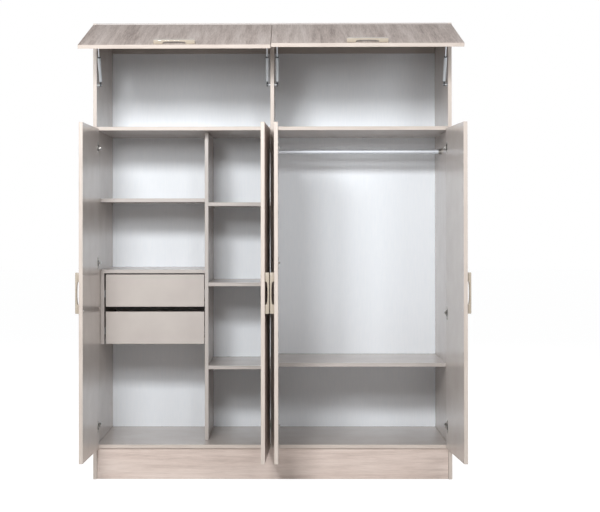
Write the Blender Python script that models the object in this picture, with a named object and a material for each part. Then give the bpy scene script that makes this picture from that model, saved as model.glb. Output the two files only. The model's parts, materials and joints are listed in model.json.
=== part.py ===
"""Four-door wardrobe with two lift-up top flaps, shown with its doors and flaps open."""

import math

import bmesh
import bpy
from mathutils import Matrix, Vector

# Carcass
WIDTH = 1.750
HEIGHT = 2.225
DEPTH = 0.600
BOARD = 0.018
BACK_BOARD = 0.003
PLINTH_HEIGHT = 0.151
PLINTH_SETBACK = 0.010
PLINTH_REAR_SETBACK = 0.040
TOP_BOX_HEIGHT = 0.505
REAR_RAIL_HEIGHT = 0.056
EASED_EDGE = 0.0008
SEAT = 0.0003

# Left bay
INNER_SETBACK = 0.130
NARROW_BAY = 0.311
LEFT_SHELF_TOP = 1.372
NARROW_SHELF_TOPS = (1.352, 0.953, 0.540)
UNIT_TOP = 1.0175
UNIT_HEIGHT = 0.370

# Right bay
RIGHT_SHELF_TOP = 0.556
RIGHT_SHELF_SETBACK = 0.100
RAIL_DIAMETER = 0.022
RAIL_WALL = 0.0012
RAIL_DROP = 0.090
RAIL_SETBACK = 0.300
RAIL_FLANGE = 0.034
RAIL_FLANGE_THICKNESS = 0.003
SOCKET_WALL = 0.002
SOCKET_DEPTH = 0.014

# Doors and flaps
DOOR_GAP = 0.003
EDGE_GAP = 0.0015
AXIS_INSET = 0.0102
DOOR_ANGLES = (91.7, 87.6, 89.8, 94.0)
FLAP_ANGLES = (71.5, 72.2)

# Handles
HANDLE_LENGTH = 0.188
HANDLE_WIDTH = 0.024
HANDLE_PROUD = 0.019
HANDLE_CORNER = 0.002
FINGER_LENGTH = 0.106
FINGER_DEPTH = 0.012
BOW_STEPS = 6
BOW_FULLNESS = 0.35
HANDLE_FROM_EDGE = 0.024
HANDLE_HEIGHT = 0.929

# Concealed hinges
CUP_DIAMETER = 0.035
CUP_DEPTH = 0.0115
CUP_WALL = 0.0012
CUP_RIM = 0.003
CUP_RIM_HEIGHT = 0.0008
CUP_FROM_EDGE = 0.0225
ARM_WIDTH = 0.012
ARM_HEIGHT = 0.010
ARM_LENGTH = 0.062
ARM_NOSE_REACH = 0.0262
ARM_NOSE_ARC = (58, 25)
ARM_ARC_STEPS = 5
ARM_ROOT = 0.008
NOSE_FOOT = 0.002
NOSE_SHOULDER = 0.016
ARM_CHAMFER = 0.004
PLATE_HEIGHT = 0.044
PLATE_LENGTH = 0.026
PLATE_THICKNESS = 0.002
PLATE_FROM_FRONT = 0.037
HINGE_FROM_BOTTOM = 0.109
HINGE_FROM_TOP = 0.0945
LEFT_MIDDLE_HINGE = 1.055
RIGHT_MIDDLE_HINGE = 0.810
FLAP_HINGE_INSET = 0.120

# Gas struts
STRUT_OFFSET = 0.0155
STRUT_LOW_SETBACK = 0.030
STRUT_DROP = 0.287
STRUT_ON_FLAP = 0.075
STRUT_STANDOFF = 0.018
STRUT_BODY = 0.015
STRUT_BODY_LENGTH = 0.126
STRUT_NECK = 0.012
STRUT_NECK_RADIUS = 0.0036
STRUT_FLOOR = 0.006
STRUT_ROUND = 0.002
STRUT_ROD = 0.006
STRUT_PIN = 0.006
STRUT_EYE = 0.014
STRUT_EYE_WIDTH = 0.006
STRUT_OVERLAP = 0.022
RUNNING_FIT = 0.0003
BRACKET_SHEET = 0.0025
BRACKET_FOOT = 0.020
BRACKET_HALF = 0.010
STUD_PLATE = 0.011
STUD_SHOULDER = 0.0015
STUD_HEAD = 0.002

# Drawers
FINGER_GAP = 0.025
FRONT_TOP_GAP = 0.006
FRONT_HEIGHT = 0.160
FRONT_SIDE_GAP = 0.003
SPACER_FRONT_GAP = 0.008
RUNNER_WIDTH = 0.0127
RUNNER_HEIGHT = 0.035
DRAWER_REAR_CLEARANCE = 0.052
RUNNER_SHEET = 0.0015
RUNNER_LIFT = 0.045
SLIDE_HEIGHT = 0.022
DRAWER_SIDE_HEIGHT = 0.120
DRAWER_SIDE = 0.012
DRAWER_BOTTOM = 0.003
DRAWER_SIDE_LIFT = 0.018

# Facets
RAIL_SIDES = 20
CUP_SIDES = 24
STRUT_SIDES = 16
SMOOTH_BELOW = 35

HALF = WIDTH / 2
INSIDE = HALF - BOARD
FRONT = -DEPTH / 2
REAR = DEPTH / 2
BOTTOM_TOP = PLINTH_HEIGHT + BOARD
CEILING = HEIGHT - BOARD
FIXED_SHELF_TOP = HEIGHT - TOP_BOX_HEIGHT
SHELF_MIDDLE = FIXED_SHELF_TOP - BOARD / 2
FLAP_AXIS = HEIGHT - EDGE_GAP - AXIS_INSET
PARTITION_RIGHT = -BOARD / 2 - NARROW_BAY
PARTITION_LEFT = PARTITION_RIGHT - BOARD
DOOR_FACE = FRONT - DOOR_GAP - BOARD
UNIT_BOTTOM = UNIT_TOP - UNIT_HEIGHT
DOOR_LOW = PLINTH_HEIGHT + EDGE_GAP
DOOR_HIGH = SHELF_MIDDLE - EDGE_GAP
LOW_HINGE = DOOR_LOW + HINGE_FROM_BOTTOM
HIGH_HINGE = DOOR_HIGH - HINGE_FROM_TOP
SPACER_RIGHT = -INSIDE + BOARD
RUNNER_LENGTH = DEPTH - INNER_SETBACK - BOARD - DRAWER_REAR_CLEARANCE

FINISHES = {
    "front_board": ((0.46, 0.41, 0.37), 0.50, 0.0),
    "body_board": ((0.60, 0.54, 0.49), 0.50, 0.0),
    "back_board": ((0.82, 0.84, 0.86), 0.55, 0.0),
    "handle": ((0.72, 0.64, 0.56), 0.45, 0.0),
    "bright_metal": ((0.72, 0.72, 0.72), 0.28, 1.0),
}


def clear_scene():
    for ob in list(bpy.data.objects):
        bpy.data.objects.remove(ob, do_unlink=True)


def material(node, finish):
    colour, roughness, metallic = FINISHES[finish]
    mat = bpy.data.materials.new(node)
    mat.use_nodes = True
    shader = mat.node_tree.nodes["Principled BSDF"]
    shader.inputs["Base Color"].default_value = (*colour, 1.0)
    shader.inputs["Roughness"].default_value = roughness
    shader.inputs["Metallic"].default_value = metallic
    return mat


def add_object(name, bm, finish, location=(0, 0, 0), parent=None):
    bmesh.ops.recalc_face_normals(bm, faces=bm.faces)
    mesh = bpy.data.meshes.new(name)
    bm.to_mesh(mesh)
    bm.free()
    ob = bpy.data.objects.new(name, mesh)
    bpy.context.scene.collection.objects.link(ob)
    ob.location = location
    ob.parent = parent
    mesh.materials.append(material(name, finish))
    return ob


def axis_empty(name, location, rotation):
    empty = bpy.data.objects.new(name, None)
    bpy.context.scene.collection.objects.link(empty)
    empty.location = location
    empty.rotation_euler = rotation
    return empty


def ease(bm, edges, width):
    bmesh.ops.bevel(bm, geom=list(edges), offset=width, segments=1, profile=0.5, affect="EDGES", material=-1)


def add_box(bm, low, high, eased=0.0):
    """A box between two corners, with its edges eased."""
    low, high = Vector(low), Vector(high)
    box = bmesh.new()
    bmesh.ops.create_cube(box, size=1.0)
    bmesh.ops.scale(box, vec=high - low, verts=box.verts)
    bmesh.ops.translate(box, vec=(low + high) / 2, verts=box.verts)
    if eased:
        ease(box, box.edges, eased)
    join(bm, box)


def join(bm, other, matrix=None):
    """Copy one closed bmesh into another and free it."""
    if matrix is not None:
        bmesh.ops.transform(other, matrix=matrix, verts=other.verts)
    bmesh.ops.recalc_face_normals(other, faces=other.faces)
    mesh = bpy.data.meshes.new("scratch")
    other.to_mesh(mesh)
    other.free()
    bm.from_mesh(mesh)
    bpy.data.meshes.remove(mesh)


def turned(profile, sides):
    """A closed body turned about Z from (radius, height) points, both ends on the axis."""
    bm = bmesh.new()
    verts = [bm.verts.new((r, 0, z)) for r, z in profile]
    edges = [bm.edges.new(pair) for pair in zip(verts, verts[1:])]
    bmesh.ops.spin(
        bm, geom=verts + edges, cent=(0, 0, 0), axis=(0, 0, 1), angle=math.tau, steps=sides, use_merge=True
    )
    bmesh.ops.remove_doubles(bm, verts=bm.verts, dist=1e-6)
    bmesh.ops.recalc_face_normals(bm, faces=bm.faces)
    return bm


def rod(radius, low, high, sides):
    return turned([(0, low), (radius, low), (radius, high), (0, high)], sides)


def tube(outer, inner, low, high, sides):
    """An open tube turned about Z."""
    bm = bmesh.new()
    ring = [(outer, low), (outer, high), (inner, high), (inner, low)]
    verts = [bm.verts.new((r, 0, z)) for r, z in ring]
    edges = [bm.edges.new((verts[i], verts[(i + 1) % 4])) for i in range(4)]
    bmesh.ops.spin(
        bm, geom=verts + edges, cent=(0, 0, 0), axis=(0, 0, 1), angle=math.tau, steps=sides, use_merge=True
    )
    bmesh.ops.remove_doubles(bm, verts=bm.verts, dist=1e-6)
    bmesh.ops.recalc_face_normals(bm, faces=bm.faces)
    return bm


def along_x(x=0.0, y=0.0, z=0.0, side=1):
    """Turn a body that stands on Z so that it points along +X or -X from a place."""
    return Matrix.Translation((x, y, z)) @ Matrix.Rotation(side * math.pi / 2, 4, "Y")


def helper(ob, name, bodies):
    """A hidden mesh of closed bodies in the object's own coordinates, for its Boolean."""
    bm = bmesh.new()
    for body in bodies:
        join(bm, body)
    mesh = bpy.data.meshes.new(name)
    bm.to_mesh(mesh)
    bm.free()
    tool = bpy.data.objects.new(name, mesh)
    bpy.context.scene.collection.objects.link(tool)
    tool.parent = ob
    tool.hide_render = True
    tool.display_type = "WIRE"
    return tool


def combine(ob, operation, bodies):
    boolean = ob.modifiers.new(operation.title(), "BOOLEAN")
    boolean.operation = operation
    boolean.solver = "EXACT"
    boolean.use_self = True
    boolean.object = helper(ob, f"{ob.name}_{operation.lower()}", bodies)


def moved(body, matrix):
    bmesh.ops.transform(body, matrix=matrix, verts=body.verts)
    return body


def board(name, low, high, finish="body_board", parent=None):
    """A board with its origin at its own centre, or on its parent's axis."""
    bm = bmesh.new()
    if parent:
        add_box(bm, low, high, EASED_EDGE)
        return add_object(name, bm, finish, parent=parent)
    centre = (Vector(low) + Vector(high)) / 2
    add_box(bm, Vector(low) - centre, Vector(high) - centre, EASED_EDGE)
    return add_object(name, bm, finish, location=centre)


def make_carcass():
    parts = {}
    for name, side in (("left_side_panel", -1), ("right_side_panel", 1)):
        xs = sorted((side * INSIDE, side * HALF))
        parts[name] = board(name, (xs[0], FRONT, 0), (xs[1], REAR, HEIGHT))
    inner = INSIDE - SEAT
    half = BOARD / 2
    parts["centre_partition"] = board(
        "centre_partition", (-half, FRONT, BOTTOM_TOP + SEAT), (half, REAR, CEILING - SEAT)
    )
    parts["top_panel"] = board("top_panel", (-inner, FRONT, CEILING), (inner, REAR, HEIGHT))
    board("bottom_panel", (-inner, FRONT, PLINTH_HEIGHT), (inner, REAR, BOTTOM_TOP))
    for word, x0, x1 in (("left", -inner, -half - SEAT), ("right", half + SEAT, inner)):
        board(f"fixed_shelf_{word}", (x0, FRONT, FIXED_SHELF_TOP - BOARD), (x1, REAR, FIXED_SHELF_TOP))
    back = (REAR + SEAT, REAR + SEAT + BACK_BOARD)
    for word, side in (("left", -1), ("right", 1)):
        xs = sorted((side * SEAT, side * (HALF - EDGE_GAP)))
        low, high = (xs[0], back[0], PLINTH_HEIGHT), (xs[1], back[1], HEIGHT - EDGE_GAP)
        board(f"back_panel_{word}", low, high, "back_board")
    low = CEILING - SEAT - REAR_RAIL_HEIGHT
    for word, x0, x1 in (("left", -inner, -half - SEAT), ("right", half + SEAT, inner)):
        board(f"top_rear_rail_{word}", (x0, REAR - BOARD, low), (x1, REAR, CEILING - SEAT))
    under = PLINTH_HEIGHT - SEAT
    front = FRONT + PLINTH_SETBACK
    rear = REAR - PLINTH_REAR_SETBACK
    board("plinth_front", (-inner, front, 0), (inner, front + BOARD, under))
    board("plinth_rear", (-inner, rear - BOARD, 0), (inner, rear, under))
    board("plinth_support", (-half, front + BOARD + SEAT, 0), (half, rear - BOARD - SEAT, under))
    return parts


def make_interior(parts):
    front = FRONT + INNER_SETBACK
    left = (-INSIDE + SEAT, PARTITION_LEFT - SEAT)
    narrow = (PARTITION_RIGHT + SEAT, -BOARD / 2 - SEAT)
    right = (BOARD / 2 + SEAT, INSIDE - SEAT)
    parts["inner_partition"] = board(
        "inner_partition",
        (PARTITION_LEFT, front, BOTTOM_TOP + SEAT),
        (PARTITION_RIGHT, REAR, FIXED_SHELF_TOP - BOARD - SEAT),
    )
    shelves = [("shelf_left", left, front, LEFT_SHELF_TOP)]
    for word, top in zip(("upper", "middle", "lower"), NARROW_SHELF_TOPS):
        shelves.append((f"narrow_shelf_{word}", narrow, front, top))
    shelves.append(("shelf_right", right, FRONT + RIGHT_SHELF_SETBACK, RIGHT_SHELF_TOP))
    for name, (x0, x1), y0, top in shelves:
        board(name, (x0, y0, top - BOARD), (x1, REAR, top))
    board("drawer_unit_top", (left[0], front, UNIT_TOP - BOARD), (left[1], REAR, UNIT_TOP))
    board("drawer_spacer", (left[0], front, UNIT_BOTTOM), (SPACER_RIGHT, REAR, UNIT_TOP - BOARD - SEAT))


def make_rail():
    radius = RAIL_DIAMETER / 2
    y = FRONT + RAIL_SETBACK
    z = FIXED_SHELF_TOP - BOARD - RAIL_DROP
    x0, x1 = BOARD / 2, INSIDE
    flange = RAIL_FLANGE_THICKNESS
    length = x1 - x0 - 2 * (flange + 2 * SEAT)
    rail = tube(radius, radius - RAIL_WALL, -length / 2, length / 2, RAIL_SIDES)
    bmesh.ops.transform(rail, matrix=along_x(), verts=rail.verts)
    add_object("hanging_rail", rail, "bright_metal", location=((x0 + x1) / 2, y, z))
    socket = radius + RUNNING_FIT
    profile = [
        (0, 0),
        (RAIL_FLANGE / 2, 0),
        (RAIL_FLANGE / 2, flange),
        (socket + SOCKET_WALL, flange),
        (socket + SOCKET_WALL, SOCKET_DEPTH),
        (socket, SOCKET_DEPTH),
        (socket, flange),
        (0, flange),
    ]
    for word, x, side in (("left", x0 + SEAT, 1), ("right", x1 - SEAT, -1)):
        bracket = moved(turned(profile, RAIL_SIDES), along_x(side=side))
        add_object(f"rail_bracket_{word}", bracket, "bright_metal", location=(x, y, z))


def handle_body():
    """The bow handle, lying along X and standing out along -Y, with its foot at Y = 0."""
    half, slot, corner = HANDLE_LENGTH / 2, FINGER_LENGTH / 2, HANDLE_CORNER
    right = [(half, 0), (half, HANDLE_PROUD - corner), (half - corner, HANDLE_PROUD)]
    bow = []
    for i in range(BOW_STEPS + 1):
        t = math.pi / 2 * i / BOW_STEPS
        bow.append((slot * math.cos(t), FINGER_DEPTH * math.sin(t) ** BOW_FULLNESS))
    outline = right + [(-x, p) for x, p in reversed(right)] + [(-x, p) for x, p in bow] + bow[-2::-1]
    bm = extruded([(x, -p) for x, p in outline], (0, 1, 2), -HANDLE_WIDTH / 2, HANDLE_WIDTH)
    front = [v for v in bm.verts if v.co.y < corner / 2 - HANDLE_PROUD]
    rim = [e for e in bm.edges if all(v in front for v in e.verts) and e.verts[0].co.z == e.verts[1].co.z]
    ease(bm, rim, corner)
    return bm


def cup_flange():
    """The cup's rim on the board's face at Z = 0."""
    return rod(CUP_DIAMETER / 2 + CUP_RIM, -CUP_RIM, CUP_RIM_HEIGHT, CUP_SIDES)


def cup_hollow():
    """The inside of a hinge cup that is pressed into the board's face at Z = 0."""
    return rod(CUP_DIAMETER / 2 - CUP_WALL, CUP_WALL - CUP_DEPTH, 2 * CUP_RIM_HEIGHT, CUP_SIDES)


def facing_in(x, z):
    """The place of a cup on a board's inner face, at Y = BOARD."""
    return Matrix.Translation((x, BOARD, z)) @ Matrix.Rotation(-math.pi / 2, 4, "X")


def add_cups(panel, places, extras=()):
    combine(panel, "UNION", [moved(cup_flange(), place) for place in places] + list(extras))
    combine(panel, "DIFFERENCE", [moved(cup_hollow(), place) for place in places])


def door_places():
    """For each door: its hinge edge, the way its free edge lies, its own hinge heights and rest angle."""
    edge = HALF - EDGE_GAP
    left = (LOW_HINGE, LEFT_MIDDLE_HINGE, HIGH_HINGE)
    right = (LOW_HINGE, RIGHT_MIDDLE_HINGE, HIGH_HINGE)
    return (
        (-edge, 1, left, DOOR_ANGLES[0]),
        (-EDGE_GAP, -1, right, DOOR_ANGLES[1]),
        (EDGE_GAP, 1, left, DOOR_ANGLES[2]),
        (edge, -1, right, DOOR_ANGLES[3]),
    )


def make_doors():
    width = HALF / 2 - 2 * EDGE_GAP
    for number, (hinge_x, way, heights, angle) in enumerate(door_places(), 1):
        name = f"door_{number}"
        axis = axis_empty(
            name + "_axis", (hinge_x + way * AXIS_INSET, DOOR_FACE, 0), (0, 0, -way * math.radians(angle))
        )
        xs = sorted((-way * AXIS_INSET, way * (width - AXIS_INSET)))
        panel = board(name + "_panel", (xs[0], 0, DOOR_LOW), (xs[1], BOARD, DOOR_HIGH), "front_board", axis)
        cup_x = way * (CUP_FROM_EDGE - AXIS_INSET)
        add_cups(panel, [facing_in(cup_x, z) for z in heights])
        handle_x = way * (width - AXIS_INSET - HANDLE_FROM_EDGE)
        stand = Matrix.Translation((handle_x, -SEAT, HANDLE_HEIGHT)) @ Matrix.Rotation(math.pi / 2, 4, "Y")
        add_object(name + "_handle", moved(handle_body(), stand), "handle", parent=axis)


def flap_places():
    edge = HALF - EDGE_GAP
    return (("left", -edge, -EDGE_GAP, FLAP_ANGLES[0]), ("right", EDGE_GAP, edge, FLAP_ANGLES[1]))


def strut_xs():
    """The struts' X, each with the way from its wall into the bay."""
    inner, outer = BOARD / 2 + STRUT_OFFSET, INSIDE - STRUT_OFFSET
    return {"left": ((-outer, 1), (-inner, -1)), "right": ((inner, 1), (outer, -1))}


def make_flaps():
    length = HEIGHT - EDGE_GAP - (SHELF_MIDDLE + EDGE_GAP)
    for word, x0, x1, angle in flap_places():
        name = f"flap_{word}"
        centre = (x0 + x1) / 2
        axis = axis_empty(name + "_axis", (centre, DOOR_FACE, FLAP_AXIS), (-math.radians(angle), 0, 0))
        half = (x1 - x0) / 2
        panel = board(
            name + "_panel", (-half, 0, AXIS_INSET - length), (half, BOARD, AXIS_INSET), "front_board", axis
        )
        cup_z = AXIS_INSET - CUP_FROM_EDGE
        places = [facing_in(x, cup_z) for x in (FLAP_HINGE_INSET - half, half - FLAP_HINGE_INSET)]
        add_cups(panel, places, [flap_bracket(x - centre, into) for x, into in strut_xs()[word]])
        place = Matrix.Translation((0, -SEAT, AXIS_INSET - length + HANDLE_FROM_EDGE))
        add_object(name + "_handle", moved(handle_body(), place), "handle", parent=axis)


def extruded(points, axes, start, depth):
    """A closed body from an outline: axes gives the outline's two axes and the one that it grows along."""
    bm = bmesh.new()
    verts = []
    for a, b in points:
        place = [0.0, 0.0, 0.0]
        place[axes[0]], place[axes[1]], place[axes[2]] = a, b, start
        verts.append(bm.verts.new(place))
    face = bm.faces.new(verts)
    grown = bmesh.ops.extrude_face_region(bm, geom=[face])
    way = Vector((0, 0, 0))
    way[axes[2]] = depth
    bmesh.ops.translate(bm, vec=way, verts=[v for v in grown["geom"] if isinstance(v, bmesh.types.BMVert)])
    bmesh.ops.recalc_face_normals(bm, faces=bm.faces)
    return bm


def flap_bracket(x, into):
    """A foot on the flap's inner face with an ear beside the strut's upper eye."""
    ear = x + into * (STRUT_EYE_WIDTH / 2 + RUNNING_FIT)
    top = BOARD + STRUT_STANDOFF + BRACKET_HALF / 2
    outline = [
        (0, BOARD - BRACKET_SHEET),
        (0, top),
        (BRACKET_SHEET, top),
        (BRACKET_SHEET, BOARD + BRACKET_SHEET),
        (BRACKET_FOOT, BOARD + BRACKET_SHEET),
        (BRACKET_FOOT, BOARD - BRACKET_SHEET),
    ]
    points = [(ear + into * a, b) for a, b in outline]
    return extruded(points, (0, 1, 2), -STRUT_ON_FLAP - BRACKET_HALF, 2 * BRACKET_HALF)


def arm_body(axis_x):
    """A hinge arm with the wall at X = 0, the bay towards +X and the front at Y = 0.

    Its nose reaches into the cup. It is hollowed round the door's axis, so that the edge of the turning
    door passes it at one small distance.
    """
    low, high = PLATE_THICKNESS / 2, PLATE_THICKNESS + ARM_WIDTH
    axis_y = -DOOR_GAP - BOARD
    radius = math.hypot(AXIS_INSET, BOARD) + SEAT
    first, last = (math.radians(a) for a in ARM_NOSE_ARC)
    hollow = []
    for i in range(ARM_ARC_STEPS + 1):
        a = first + (last - first) * i / ARM_ARC_STEPS
        hollow.append((axis_x + radius * math.cos(a), axis_y + radius * math.sin(a)))
    reach = axis_x + ARM_NOSE_REACH
    outline = [(low, ARM_ROOT)] + hollow + [
        (reach, hollow[-1][1]),
        (reach, NOSE_FOOT),
        (high, NOSE_SHOULDER),
        (high, ARM_LENGTH - ARM_CHAMFER),
        (high - ARM_CHAMFER, ARM_LENGTH),
        (low, ARM_LENGTH),
    ]
    return extruded(outline, (0, 1, 2), -ARM_HEIGHT / 2, ARM_HEIGHT)


def plate_body():
    """The mounting plate, sunk a little into the wall at X = 0 to be one with it."""
    plate = bmesh.new()
    half = PLATE_LENGTH / 2
    low = (-PLATE_THICKNESS, PLATE_FROM_FRONT - half, -PLATE_HEIGHT / 2)
    add_box(plate, low, (PLATE_THICKNESS, PLATE_FROM_FRONT + half, PLATE_HEIGHT / 2))
    return plate


def make_fittings(parts):
    """Hinge arms and mounting plates, each one with the board that carries it."""
    walls = (("left_side_panel", -INSIDE), ("centre_partition", 0.0), ("right_side_panel", INSIDE))
    on_wall = {name: [] for name, x in walls}
    for hinge_x, way, heights, _ in door_places():
        name, middle = min(walls, key=lambda wall: abs(wall[1] - hinge_x))
        wall_x = middle or way * BOARD / 2
        axis_x = way * (hinge_x - wall_x) + AXIS_INSET
        for z in heights:
            place = Matrix.Translation((wall_x, FRONT, z)) @ Matrix.Scale(way, 4, (1, 0, 0))
            on_wall[name] += [moved(arm_body(axis_x), place), moved(plate_body(), place)]
    for name, bodies in on_wall.items():
        ob = parts[name]
        combine(ob, "UNION", [moved(body, Matrix.Translation(-ob.location)) for body in bodies])
    axis_x = EDGE_GAP + AXIS_INSET - BOARD
    top, arms = parts["top_panel"], []
    for _, x0, x1, _ in flap_places():
        for x in (x0 + FLAP_HINGE_INSET, x1 - FLAP_HINGE_INSET):
            place = Matrix.Translation((x, FRONT, CEILING)) @ Matrix.Rotation(math.pi / 2, 4, "Y")
            place = Matrix.Translation(-top.location) @ place
            arms += [moved(arm_body(axis_x), place), moved(plate_body(), place)]
    combine(top, "UNION", arms)


def strut_stud():
    """The stud that a strut's lower eye turns on, with its plate, on a wall at Z = 0."""
    radius = STRUT_PIN / 2
    near = STRUT_OFFSET - STRUT_EYE_WIDTH / 2 - RUNNING_FIT
    far = STRUT_OFFSET + STRUT_EYE_WIDTH / 2 + RUNNING_FIT
    profile = [
        (0, SEAT),
        (STUD_PLATE, SEAT),
        (STUD_PLATE, BRACKET_SHEET),
        (radius + STUD_SHOULDER, BRACKET_SHEET),
        (radius + STUD_SHOULDER, near),
        (radius, near),
        (radius, far),
        (radius - STUD_SHOULDER / 2, far + STUD_HEAD),
        (0, far + STUD_HEAD),
    ]
    return turned(profile, STRUT_SIDES)


def make_struts():
    low_y, low_z = FRONT + STRUT_LOW_SETBACK, FLAP_AXIS - STRUT_DROP
    for word, _, _, angle in flap_places():
        a = math.radians(angle)
        stand = BOARD + STRUT_STANDOFF
        high_y = DOOR_FACE - STRUT_ON_FLAP * math.sin(a) + stand * math.cos(a)
        high_z = FLAP_AXIS - STRUT_ON_FLAP * math.cos(a) - stand * math.sin(a)
        length = math.hypot(high_y - low_y, high_z - low_z)
        lean = math.atan2(low_y - high_y, high_z - low_z)
        for x, into in strut_xs()[word]:
            name = f"strut_{word}_{'outer' if abs(x) > HALF / 2 else 'inner'}"
            stud = moved(strut_stud(), along_x(side=into))
            wall_x = x - into * STRUT_OFFSET
            add_object(name + "_stud", stud, "bright_metal", location=(wall_x, low_y, low_z))
            axis = axis_empty(name + "_axis", (x, low_y, low_z), (lean, 0, 0))
            add_object(name + "_cylinder", cylinder_body(), "bright_metal", parent=axis)
            add_object(name + "_rod", rod_body(length), "bright_metal", parent=axis)


def eye_body(height, bore):
    """A flat eye across X at a height, with or without its bore."""
    radius, half = STRUT_EYE / 2, STRUT_EYE_WIDTH / 2
    if bore:
        body = tube(radius, STRUT_PIN / 2 + RUNNING_FIT, -half, half, STRUT_SIDES)
    else:
        body = rod(radius, -half, half, STRUT_SIDES)
    bmesh.ops.transform(body, matrix=along_x(0, 0, height), verts=body.verts)
    return body


def united(first, second):
    """The union of two closed bodies, as a new bmesh."""
    obs = []
    for bm in (first, second):
        mesh = bpy.data.meshes.new("scratch")
        bm.to_mesh(mesh)
        bm.free()
        ob = bpy.data.objects.new("scratch", mesh)
        bpy.context.scene.collection.objects.link(ob)
        obs.append(ob)
    boolean = obs[0].modifiers.new("Join", "BOOLEAN")
    boolean.operation = "UNION"
    boolean.solver = "EXACT"
    boolean.object = obs[1]
    bpy.context.view_layer.update()
    evaluated = obs[0].evaluated_get(bpy.context.evaluated_depsgraph_get())
    result = bmesh.new()
    result.from_mesh(evaluated.to_mesh())
    for ob in obs:
        mesh = ob.data
        bpy.data.objects.remove(ob, do_unlink=True)
        bpy.data.meshes.remove(mesh)
    return result


def cylinder_body():
    """The strut's hollow body above its lower eye."""
    radius, soft = STRUT_BODY / 2, STRUT_ROUND
    bore = STRUT_ROD / 2 + RUNNING_FIT
    root = STRUT_EYE / 2 - STRUT_ROUND
    foot = STRUT_EYE / 2 + STRUT_NECK
    top = foot + STRUT_BODY_LENGTH
    floor = foot + STRUT_FLOOR
    tank = [(0, root), (STRUT_NECK_RADIUS, root), (STRUT_NECK_RADIUS, foot - soft), (radius - soft, foot)]
    tank += [(radius, foot + soft), (radius, top - soft), (radius - soft, top)]
    tank += [(bore, top), (bore, floor), (0, floor)]
    return united(turned(tank, STRUT_SIDES), eye_body(0.0, True))


def rod_body(length):
    """The strut's rod, from inside the cylinder up to its upper eye."""
    top = STRUT_EYE / 2 + STRUT_NECK + STRUT_BODY_LENGTH
    shaft = rod(STRUT_ROD / 2, top - STRUT_OVERLAP, length - STRUT_EYE / 4, STRUT_SIDES)
    return united(shaft, eye_body(length, False))


def make_drawers():
    left, right = SPACER_RIGHT, PARTITION_LEFT
    centre, half = (left + right) / 2, (right - left) / 2
    front_y = FRONT + INNER_SETBACK
    y0, y1 = BOARD + SEAT, BOARD + SEAT + RUNNER_LENGTH
    z0, z1 = DRAWER_SIDE_LIFT, DRAWER_SIDE_LIFT + DRAWER_SIDE_HEIGHT
    out = half - RUNNER_WIDTH
    inn, rear = out - DRAWER_SIDE, y1 - DRAWER_SIDE
    outline = [(-out, y0), (-out, y1), (out, y1), (out, y0), (inn, y0), (inn, rear), (-inn, rear), (-inn, y0)]
    middle = z0 + RUNNER_LIFT
    high = UNIT_TOP - BOARD - FRONT_TOP_GAP
    for level in ("upper", "lower"):
        name = f"drawer_{level}"
        low = high - FRONT_HEIGHT
        axis = axis_empty(name + "_slide", (centre, front_y, low), (0, 0, 0))
        x0, x1 = SPACER_FRONT_GAP - half, half - FRONT_SIDE_GAP
        board(name + "_front", (x0, 0, 0), (x1, BOARD, FRONT_HEIGHT), "front_board", axis)
        box = add_object(name + "_box", extruded(outline, (0, 1, 2), z0, z1 - z0), "body_board", parent=axis)
        under = z0 - SEAT
        board(name + "_bottom", (-out, y0, under - DRAWER_BOTTOM), (out, y1, under), "back_board", axis)
        slides = []
        for word, way in (("left", -1), ("right", 1)):
            slides.append(slide_body(way, out, (y0 + SEAT, y1 - SEAT), middle))
            place = (centre + way * half, front_y + y0, low + middle)
            add_object(f"runner_{level}_{word}", channel(-way), "bright_metal", location=place)
        combine(box, "UNION", slides)
        high = low - FINGER_GAP


def slide_body(way, side_x, ys, height):
    """The part of a runner that is fixed to the drawer's side, sunk a little to be one with it."""
    body = bmesh.new()
    xs = sorted((way * (side_x - RUNNER_SHEET), way * (side_x + RUNNER_WIDTH / 2 - SEAT)))
    add_box(body, (xs[0], ys[0], height - SLIDE_HEIGHT / 2), (xs[1], ys[1], height + SLIDE_HEIGHT / 2))
    return body


def channel(way):
    """A cabinet runner: a channel on the wall at X = 0 that the drawer's slide runs in."""
    wall = way * SEAT
    plate = wall + way * RUNNER_SHEET
    lip = way * (RUNNER_WIDTH / 2 + 2 * SEAT)
    half = RUNNER_HEIGHT / 2
    web = half - RUNNER_SHEET
    outline = [(wall, -half), (lip, -half), (lip, -web), (plate, -web)]
    outline += [(x, -z) for x, z in reversed(outline)]
    return extruded(outline, (0, 2, 1), 0, RUNNER_LENGTH)


def smooth_round_pieces():
    for ob in bpy.data.objects:
        if ob.type == "MESH" and ob.name.startswith(("strut", "hanging", "rail")):
            ob.data.shade_smooth()
            ob.data.set_sharp_from_angle(angle=math.radians(SMOOTH_BELOW))


clear_scene()
carcass = make_carcass()
make_interior(carcass)
make_rail()
make_doors()
make_flaps()
make_fittings(carcass)
make_struts()
make_drawers()
smooth_round_pieces()
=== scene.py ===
import json
import math
from functools import cache, partial

import bmesh
import bpy
from mathutils import Matrix, Vector


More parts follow.
